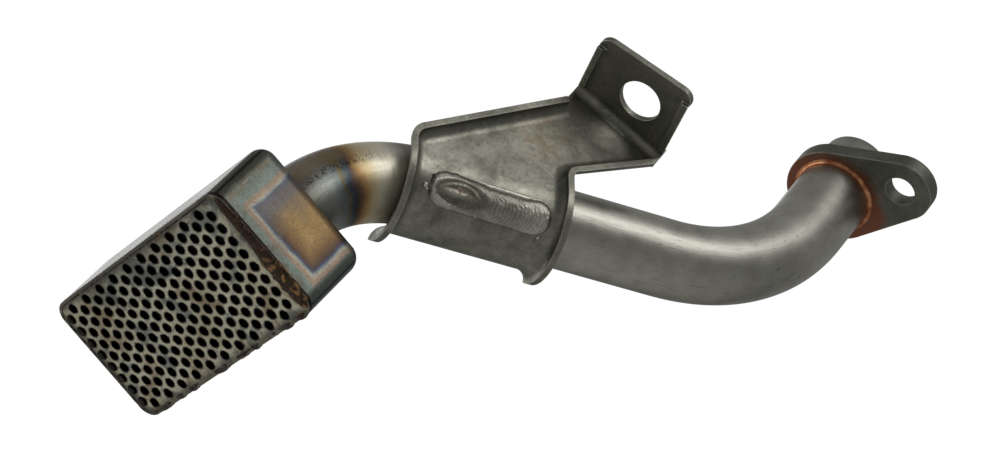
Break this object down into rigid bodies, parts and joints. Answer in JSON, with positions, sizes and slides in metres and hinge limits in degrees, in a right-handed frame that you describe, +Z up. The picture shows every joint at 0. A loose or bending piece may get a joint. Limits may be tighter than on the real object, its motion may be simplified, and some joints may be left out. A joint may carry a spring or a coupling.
{
  "type": "oil pickup tube",
  "caption": "Bent steel oil pickup tube with a welded perforated strainer box, a stamped support bracket and a brazed bolt-on flange.",
  "frame": {"origin": "centre of the flange's seating face, on the spigot's axis", "axes": "+Z up the tube from the flange towards the screen, +X from the flange towards the strainer, so the tube's centre line lies in the XZ plane"},
  "size_m": [0.163, 0.1052, 0.1906],
  "materials": {
    "tube_steel": "satin bare steel with heat tint bands beside the strainer",
    "flange_steel": "matt grey steel with a brown braze stain round the tube",
    "copper_braze": "bare copper braze",
    "box_steel": "heat-tinted steel sheet",
    "weld_metal": "scaled weld bead",
    "screen_steel": "perforated steel with brown and blue heat stains",
    "bracket_steel": "mottled grey pickled sheet with bright cut edges",
    "slot_weld_metal": "bright rippled weld"
  },
  "bodies": {
    "root": {"tube": "tube_steel", "flange": "flange_steel", "flange_braze": "copper_braze", "strainer_box": "box_steel", "inlet_weld": "weld_metal", "screen": "screen_steel", "screen_weld": "weld_metal", "bracket": "bracket_steel", "slot_weld": "slot_weld_metal"}
  },
  "joints": []
}
